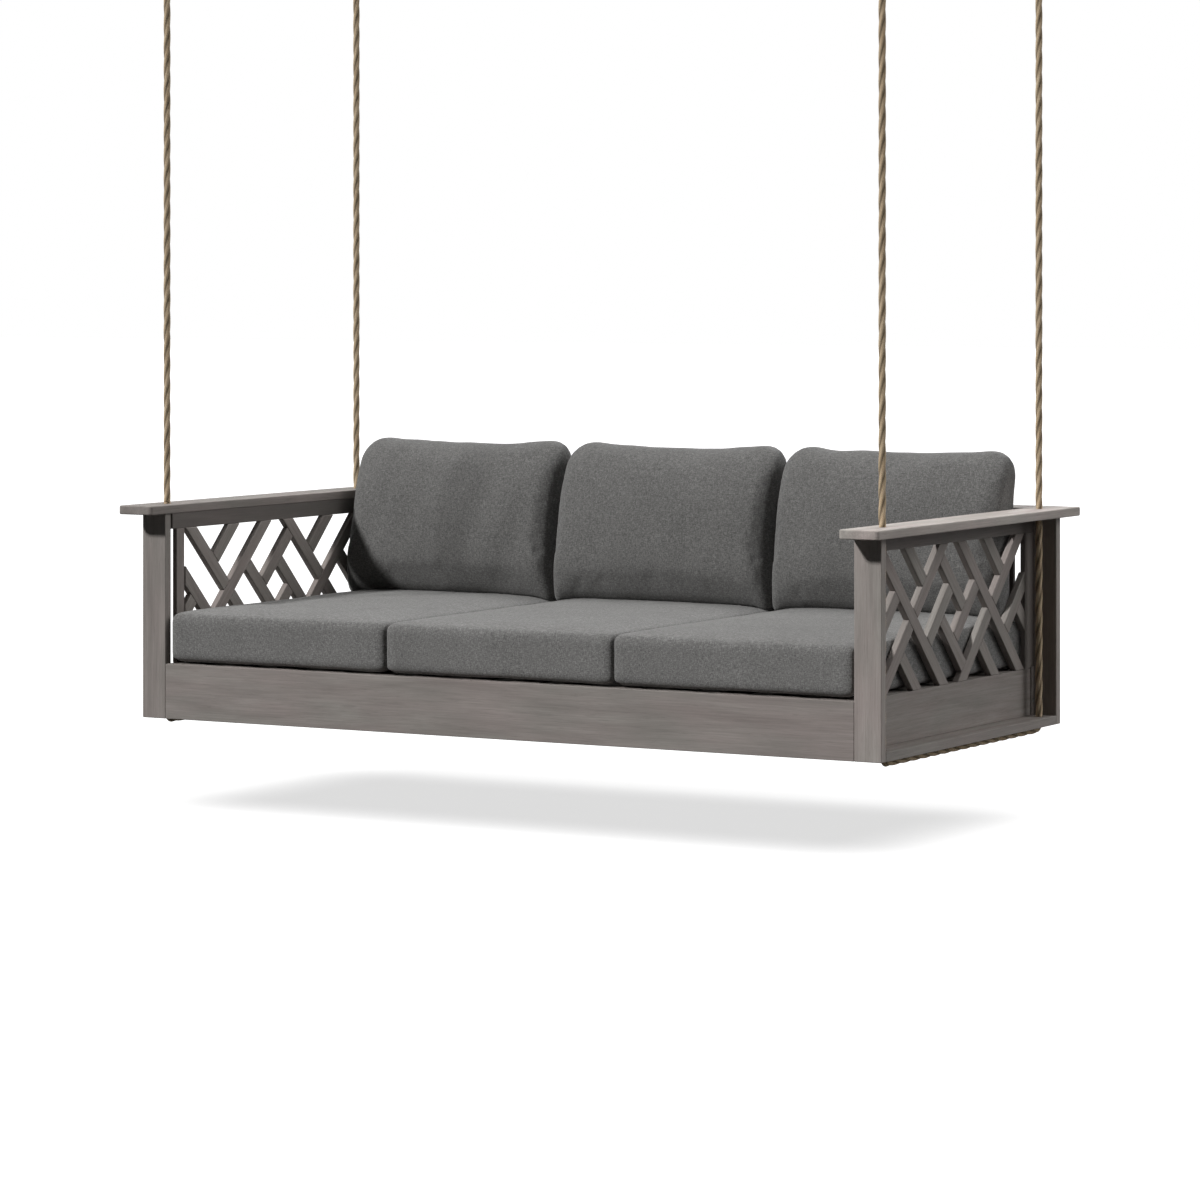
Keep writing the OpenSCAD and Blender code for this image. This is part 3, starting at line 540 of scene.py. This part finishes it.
def steel(node, edge):
    """A CAD node in galvanised steel, its sharp edges eased."""
    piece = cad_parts[node]
    piece.data.materials.clear()
    piece.data.materials.append(steel_material)
    weld = piece.modifiers.new("weld", "WELD")
    weld.merge_threshold = 0.01 * MM
    ease = piece.modifiers.new("ease", "BEVEL")
    ease.width = edge
    ease.segments = 2
    ease.limit_method = "ANGLE"
    ease.angle_limit = math.radians(50)


for corner in CORNERS:
    steel(corner + "_thimble", 0.4 * MM)
    steel(corner + "_link", 0.8 * MM)
    steel(corner + "_link_bolt", 0.5 * MM)
steel("hanger_brackets", 0.8 * MM)
steel("hanger_bolts", 0.5 * MM)
steel("frame_screws", 0.1 * MM)


# ---------- cushions ----------

def make_fabric_material():
    material, tree, shader, add = new_material("heathered_fabric")
    place = add("ShaderNodeTexCoord").outputs["Object"]
    threads = []
    for axis in range(3):
        wave = add("ShaderNodeTexWave", {"Vector": place, "Scale": 160, "Distortion": 1.1, "Detail": 2,
                                         "Detail Scale": 1.5}, bands_direction="XYZ"[axis])
        threads.append(wave.outputs["Fac"])
    weave = add("ShaderNodeMath", {0: threads[0], 1: threads[1]}, operation="MAXIMUM").outputs[0]
    weave = add("ShaderNodeMath", {0: weave, 1: threads[2]}, operation="MAXIMUM").outputs[0]
    flecks = add("ShaderNodeTexNoise", {"Vector": place, "Scale": 520, "Detail": 2, "Roughness": 0.6})
    slubs = add("ShaderNodeTexNoise", {"Vector": stretched(add, place, (110, 110, 430)),
                                       "Scale": 1, "Detail": 2})
    slubs_x = add("ShaderNodeTexNoise", {"Vector": stretched(add, place, (430, 110, 110)),
                                         "Scale": 1, "Detail": 2})
    tone = add("ShaderNodeTexNoise", {"Vector": place, "Scale": 7, "Detail": 2})
    heather = add("ShaderNodeMath", {0: slubs.outputs["Fac"], 1: slubs_x.outputs["Fac"]}, operation="ADD")
    heather = add("ShaderNodeMath", {0: heather.outputs[0], 1: 0.28}, operation="MULTIPLY").outputs[0]
    speck = add("ShaderNodeMath", {0: flecks.outputs["Fac"], 1: 0.44}, operation="MULTIPLY").outputs[0]
    blend = add("ShaderNodeMath", {0: heather, 1: speck}, operation="ADD").outputs[0]
    colour = ramp(add, blend, [(0.38, (0.084, 0.083, 0.081)), (0.50, (0.140, 0.138, 0.134)),
                               (0.62, (0.232, 0.229, 0.223))])
    colour = mix(add, "OVERLAY", 0.12, colour, tone.outputs["Fac"])
    # The cushion's brightness attribute scales the cover colour: painted light on the seat covers and painted
    # shade on the back covers.
    shade = add("ShaderNodeAttribute", attribute_name="shade").outputs["Fac"]
    colour = mix(add, "MULTIPLY", 1.0, colour, shade)
    tree.links.new(colour, shader.inputs["Base Color"])
    height = add("ShaderNodeMath", {0: weave, 1: flecks.outputs["Fac"]}, operation="ADD")
    bump = add("ShaderNodeBump", {"Height": height.outputs[0], "Strength": 0.35, "Distance": 0.0005})
    tree.links.new(bump.outputs[0], shader.inputs["Normal"])
    shader.inputs["Roughness"].default_value = 0.92
    shader.inputs["Specular IOR Level"].default_value = 0.12
    shader.inputs["Sheen Weight"].default_value = 0.2
    shader.inputs["Sheen Roughness"].default_value = 0.5
    return material


fabric_material = make_fabric_material()

CORNER_STEPS = 10            # points round a corner of a cushion's outline
SIDE_STEPS = 14              # steps between two corners
RIM_TURNS = [0, 15, 30, 45, 60, 75, 90]
FACE_SHARES = [0.94, 0.85, 0.72, 0.56, 0.38, 0.2, 0.07]
SEAT_CROWN = 13 * MM
SEAT_POWER = 4
UNDER_HIGH = 95 * MM         # a back cushion's front curves in over its foot, this high and this deep
UNDER_DEEP = 46 * MM
REAR_HIGH = 0.9              # below this share of its height, its rear slants in towards its foot
REAR_DEEP = 60 * MM
FOOT_BAND = 25 * MM          # height of a back cushion's foot, which takes the seat's shape
FOOT_STATIONS = (24, 4)      # places where its height over the seat is measured, along and across
FOOT_ROUNDS = 3
FOOT_GAP = 0.6 * MM
CLOTH_FRAMES = 20
CLOTH_QUALITY = 4
SEAT_VOXEL = 14 * MM
BACK_VOXEL = 11 * MM
HELD_HIGH = 80 * MM          # up to here a back cushion's weight holds its shape
BACK_LEAN = 22 * MM


def swell(x, y, a, b, power):
    return max(0, 1 - abs(x / a) ** power) * max(0, 1 - abs(y / b) ** power)


def rounded_outline(a, b, low_r, high_r, draws):
    """A rounded box, drawn in between its corners at the sides, foot and top."""
    corners = [(a - low_r, low_r - b, low_r, -90), (a - high_r, b - high_r, high_r, 0),
               (high_r - a, b - high_r, high_r, 90), (low_r - a, low_r - b, low_r, 180)]
    arcs = []
    for x, y, r, first in corners:
        turns = [math.radians(first + 90 * k / (CORNER_STEPS - 1)) for k in range(CORNER_STEPS)]
        arcs.append([(x + r * math.cos(t), y + r * math.sin(t)) for t in turns])
    points = []
    for arc, following in zip(arcs, arcs[1:] + arcs[:1]):
        (x0, y0), (x1, y1) = arc[-1], following[0]
        points += arc
        points += [(x0 + (x1 - x0) * k / SIDE_STEPS, y0 + (y1 - y0) * k / SIDE_STEPS)
                   for k in range(1, SIDE_STEPS)]
    return [(x - draws[0] * x / a * (1 - (y / b) ** 2),
             y - draws[1 if y < 0 else 2] * y / b * (1 - (x / a) ** 2)) for x, y in points]


def cushion_mesh(name, size, radii, edge_r, draws, thick, bulge, lean=0.0, seat_depth=0.0):
    """A stuffed box: x and y across its face, z from its back to its crown. thick is its
    thickness at the foot and the top and the power of the change. A back cushion's foot follows
    the crown of the seat under it."""
    a, b = size[0] / 2, size[1] / 2
    outline = rounded_outline(a, b, radii[0], radii[1], draws)
    rings = [(1 - edge_r * (1 - math.cos(math.radians(t))) / a,
              1 - edge_r * (1 - math.cos(math.radians(t))) / b,
              edge_r * (1 - math.sin(math.radians(t)))) for t in RIM_TURNS]
    rings += [(rings[-1][0] * s, rings[-1][1] * s, 0) for s in FACE_SHARES]
    bm = bmesh.new()

    def shaped(x, y, depth, front):
        up = max(0, (y + b) / (2 * b))
        t = thick[0] - (thick[0] - thick[1]) * up ** thick[2]
        z = t - depth + bulge[0] * swell(x, y, a, b, bulge[1]) if front else depth
        z -= lean * up ** 4
        if front and seat_depth:
            low = max(0, 1 - (y + b) / UNDER_HIGH)
            z -= UNDER_DEEP * (1 - math.sqrt(1 - low * low))
        elif seat_depth:
            z += REAR_DEEP * max(0, 1 - up / REAR_HIGH) ** 1.2
        if seat_depth:
            y += SEAT_CROWN * swell(x, seat_depth / 2 - z, a, seat_depth / 2, SEAT_POWER) * (1 - up)
        return bm.verts.new((x, y, z))

    loops = [[shaped(x * r[0], y * r[1], r[2], False) for x, y in outline] for r in reversed(rings)]
    loops += [[shaped(x * r[0], y * r[1], r[2], True) for x, y in outline] for r in rings]
    for low, high in zip(loops, loops[1:]):
        for i in range(len(low)):
            n = (i + 1) % len(low)
            bm.faces.new((low[i], low[n], high[n], high[i]))
    bm.faces.new(loops[0][::-1])
    bm.faces.new(loops[-1])
    bmesh.ops.recalc_face_normals(bm, faces=bm.faces)
    mesh = bpy.data.meshes.new(name)
    bm.to_mesh(mesh)
    bm.free()
    return mesh


def stuffed(piece, voxel, pressure, cap, held=0.0):
    """Remeshes a cushion, inflates it as cloth, and keeps each point within cap of its start.
    held is the height above the foot up to which the cushion's weight holds its shape."""
    scene = bpy.context.scene
    bpy.context.view_layer.objects.active = piece
    remesh = piece.modifiers.new("remesh", "REMESH")
    remesh.mode = "VOXEL"
    remesh.voxel_size = voxel
    evaluated = piece.evaluated_get(bpy.context.evaluated_depsgraph_get())
    fine = bpy.data.meshes.new_from_object(evaluated)
    piece.modifiers.clear()
    piece.data = fine
    start = [v.co.copy() for v in fine.vertices]
    cloth = piece.modifiers.new("cloth", "CLOTH")
    cloth.settings.use_pressure = True
    cloth.settings.uniform_pressure_force = pressure
    cloth.settings.quality = CLOTH_QUALITY
    cloth.settings.effector_weights.gravity = 0
    cloth.point_cache.frame_start = 1
    cloth.point_cache.frame_end = CLOTH_FRAMES
    for number in range(1, CLOTH_FRAMES + 1):
        scene.frame_set(number)
    evaluated = piece.evaluated_get(bpy.context.evaluated_depsgraph_get())
    blown = bpy.data.meshes.new_from_object(evaluated)
    piece.modifiers.clear()
    piece.data = blown
    foot = min(p.z for p in start)
    for vert, first in zip(blown.vertices, start):
        step = vert.co - first
        share = min(1, cap / max(step.length, 1e-6))
        if held:
            share *= 0.25 + 0.75 * min(1, (first.z - foot) / held)
        vert.co = first + step * share
    scene.frame_set(1)


def fitted(piece, node, loose):
    """Moves and stretches a cushion onto the box of its node, loosened by a few mm on each side.
    The outermost points are left out of its own size, so single bumps do not shrink it."""
    low, high = (Vector(c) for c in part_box(node))
    slack = Vector(loose)
    low, high = low - slack, high + slack
    low.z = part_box(node)[0][2]    # the foot stays on what is below it
    spans = []
    for i in range(3):
        values = sorted(v.co[i] for v in piece.data.vertices)
        spans.append((values[len(values) // 200], values[-len(values) // 200]))
    for vert in piece.data.vertices:
        share = [(vert.co[i] - spans[i][0]) / (spans[i][1] - spans[i][0]) for i in range(3)]
        vert.co = Vector(low[i] + (high[i] - low[i]) * share[i] for i in range(3))


def finish_cushion(piece, node, shade):
    for face in piece.data.polygons:
        face.use_smooth = True
    # Every point of the cover gets the same brightness factor: painted light on seats, painted shade on
    # backs.
    painted_light_layer = piece.data.attributes.new("shade", "FLOAT", "POINT")
    painted_light_layer.data.foreach_set("value", [shade] * len(piece.data.vertices))
    piece.data.materials.clear()
    piece.data.materials.append(fabric_material)
    smooth = piece.modifiers.new("smooth", "SUBSURF")
    smooth.levels = 1
    smooth.render_levels = 1
    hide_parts(node)
    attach(piece, "bed")


def wrinkle(piece, depth, seed, folds):
    """The shallow waves of a loose cover, and broad folds that lean across a back cushion."""
    for vert in piece.data.vertices:
        p = vert.co
        wave = noise.noise(Vector((p.x * 7 + seed, p.y * 7, p.z * 3.2)))
        fine = noise.noise(Vector((p.x * 19, p.y * 19 + seed, p.z * 9)))
        across, along = p.x * 0.94 - p.z * 0.34, p.x * 0.34 + p.z * 0.94
        fold = noise.noise(Vector((across * 11 + seed, 0.7, along * 2.1)))
        vert.co += vert.normal * (depth * (wave + 0.35 * fine) + folds * fold)


def seat_cushion(place, seed):
    node = place + "_seat_cushion"
    low, high = (Vector(c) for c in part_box(node))
    size = high - low
    edge_t = size.z - SEAT_CROWN
    mesh = cushion_mesh(node + "_cover", (size.x - 4 * MM, size.y - 4 * MM), (16 * MM, 16 * MM), 14 * MM,
                        (3 * MM, 3 * MM, 3 * MM), (edge_t, edge_t, 1), (SEAT_CROWN, SEAT_POWER))
    piece = bpy.data.objects.new(node + "_cover", mesh)
    bpy.context.scene.collection.objects.link(piece)
    stuffed(piece, SEAT_VOXEL, 3, 6 * MM)
    wrinkle(piece, 1.6 * MM, seed, 0)
    fitted(piece, node, (0.5 * MM, 0.5 * MM, 0.5 * MM))
    # The seat covers are lightened: painted light on their tops and fronts.
    finish_cushion(piece, node, 1.24)
    return piece


def back_cushion(place, seed, seat, folds):
    node = place + "_back_cushion"
    low, high = (Vector(c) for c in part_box(node))
    size = high - low
    seat_low, seat_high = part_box(place + "_seat_cushion")
    mesh = cushion_mesh(node + "_cover", (size.x - 10 * MM, size.z - 4 * MM), (22 * MM, 70 * MM), 32 * MM,
                        (5 * MM, 0, 4 * MM), (176 * MM, 92 * MM, 2.5), (22 * MM, 3), BACK_LEAN,
                        seat_high[1] - seat_low[1])
    mesh.transform(Matrix.Rotation(math.pi / 2, 4, "X"))
    piece = bpy.data.objects.new(node + "_cover", mesh)
    bpy.context.scene.collection.objects.link(piece)
    stuffed(piece, BACK_VOXEL, 4, 12 * MM, held=HELD_HIGH)
    wrinkle(piece, 2.4 * MM, seed, folds)
    fitted(piece, node, (3 * MM, 2 * MM, -1 * MM))
    rest_on(piece, seat)
    # The back covers are darkened: painted shade.
    finish_cushion(piece, node, 0.93)


def rest_on(piece, seat):
    """Sinks a cushion's foot onto the seat, and lifts the points of it that dip into the seat."""
    seat_tree = BVHTree.FromObject(seat, bpy.context.evaluated_depsgraph_get())
    verts = piece.data.vertices
    foot = min(v.co.z for v in verts)
    low_points = [v.co for v in verts if v.co.z < foot + FOOT_BAND]
    low_x, high_x = (pick(p.x for p in low_points) for pick in (min, max))
    low_y, high_y = (pick(p.y for p in low_points) for pick in (min, max))
    columns, rows = FOOT_STATIONS

    def station(value, low, high, count):
        at = min(max((value - low) / (high - low) * count - 0.5, 0), count - 1.001)
        return int(at), at - int(at)

    for _ in range(FOOT_ROUNDS):
        own_tree = BVHTree.FromPolygons([v.co for v in verts], [p.vertices for p in piece.data.polygons])
        gaps = [[0.0] * rows for _ in range(columns)]
        for i in range(columns):
            for j in range(rows):
                x = low_x + (high_x - low_x) * (i + 0.5) / columns
                y = low_y + (high_y - low_y) * (j + 0.5) / rows
                own = own_tree.ray_cast(Vector((x, y, foot - 0.1)), Vector((0, 0, 1)))[0]
                under = seat_tree.ray_cast(Vector((x, y, foot + 0.1)), Vector((0, 0, -1)))[0]
                if own and under:
                    gaps[i][j] = min(30 * MM, own.z - under.z - FOOT_GAP)
        for vert in verts:
            up = max(0, vert.co.z - foot - FOOT_BAND / 2) / (3 * FOOT_BAND)
            if up < 1:
                i, s = station(vert.co.x, low_x, high_x, columns)
                j, t = station(vert.co.y, low_y, high_y, rows)
                gap = (gaps[i][j] * (1 - s) + gaps[i + 1][j] * s) * (1 - t)
                gap += (gaps[i][j + 1] * (1 - s) + gaps[i + 1][j + 1] * s) * t
                vert.co.z -= gap * (1 - up) ** 2
    for vert in verts:
        if vert.co.z < foot + 3 * FOOT_BAND:
            hit = seat_tree.ray_cast(vert.co + Vector((0, 0, 60 * MM)), Vector((0, 0, -1)), 80 * MM)[0]
            if hit:
                vert.co.z = max(vert.co.z, hit.z + FOOT_GAP)


for number, (place, folds) in enumerate((("left", 8 * MM), ("middle", 4 * MM), ("right", 4 * MM))):
    seat = seat_cushion(place, 3.7 + number * 11.3)
    back_cushion(place, 41.9 + number * 7.7, seat, folds)


# ---------- floor, light and world ----------

FLOOR_DROP = 238 * MM        # from the feet of the posts to the floor
FLOOR_HALF = 60              # m, from the middle of the floor to its edges
FLOOR_GLOW = 0.71            # brightness of the floor in its own shadow, as the camera sees it
FLOOR_COLOUR = (0.95, 0.95, 0.95, 1)
FLOOR_BOUNCE = (0.05, 0.05, 0.05, 1)    # what the floor sends back to the object
WHITE = (1, 1, 1, 1)
WORLD_FILL = 0.02            # light from all round


def make_floor():
    bm = bmesh.new()
    bmesh.ops.create_grid(bm, x_segments=2, y_segments=2, size=FLOOR_HALF)
    mesh = bpy.data.meshes.new("floor")
    bm.to_mesh(mesh)
    bm.free()
    floor = bpy.data.objects.new("floor", mesh)
    floor.location = (0, 0, feet_z - FLOOR_DROP)
    bpy.context.scene.collection.objects.link(floor)
    material, tree, shader, add = new_material("floor")
    shader.inputs["Base Color"].default_value = FLOOR_BOUNCE
    shader.inputs["Roughness"].default_value = 1
    shader.inputs["Specular IOR Level"].default_value = 0
    glow = add("ShaderNodeEmission", {"Color": WHITE, "Strength": FLOOR_GLOW})
    soft = add("ShaderNodeBsdfDiffuse", {"Color": FLOOR_COLOUR})
    both = add("ShaderNodeAddShader", {0: glow.outputs[0], 1: soft.outputs[0]})
    choice = add("ShaderNodeMixShader", {0: seen_directly(add), 1: shader.outputs[0], 2: both.outputs[0]})
    tree.links.new(choice.outputs[0], tree.nodes["Material Output"].inputs["Surface"])
    mesh.materials.append(material)
    return floor


floor = make_floor()


def sun(name, energy, towards, width):
    """A sun that shines towards a direction, as wide in the sky as width in degrees."""
    data = bpy.data.lights.new(name, "SUN")
    data.energy = energy
    data.angle = math.radians(width)
    light = bpy.data.objects.new(name, data)
    light.rotation_euler = Vector(towards).to_track_quat("-Z", "Y").to_euler()
    bpy.context.scene.collection.objects.link(light)
    return light


# The key comes from the front left, 36 degrees high, as the arms' shadows on the posts show. The
# object's lights leave the floor out. It has a wide light of its own, straight above it, so the
# shadow lies soft below the bed.
object_lights = [sun("key", 3.1, (0.405, 0.70, -0.588), 6),
                 sun("right", 1.25, (-0.80, -0.32, -0.50), 45),
                 sun("top", 1.05, (0, -0.25, -1), 45),
                 sun("rear", 0.8, (0.15, -0.95, -0.25), 30)]
floor_light = sun("floor_light", 2.0, (0, 0, -1), 100)

floor_only = bpy.data.collections.new("floor_only")
floor_only.objects.link(floor)
floor_light.light_linking.receiver_collection = floor_only
not_floor = bpy.data.collections.new("not_floor")
not_floor.objects.link(floor)
not_floor.collection_objects[0].light_linking.link_state = "EXCLUDE"
for light in object_lights:
    light.light_linking.receiver_collection = not_floor

world = bpy.data.worlds.new("studio")
bpy.context.scene.world = world
world.use_nodes = True
world_tree = world.node_tree
add_to_world = node_adder(world_tree)
fill = world_tree.nodes["Background"]
fill.inputs["Color"].default_value = WHITE
fill.inputs["Strength"].default_value = WORLD_FILL
backdrop = add_to_world("ShaderNodeBackground", {"Color": WHITE, "Strength": 1})
choice = add_to_world("ShaderNodeMixShader", {0: seen_directly(add_to_world), 1: fill.outputs[0],
                                              2: backdrop.outputs[0]})
world_tree.links.new(choice.outputs[0], world_tree.nodes["World Output"].inputs["Surface"])

bpy.context.scene.view_settings.view_transform = "Standard"
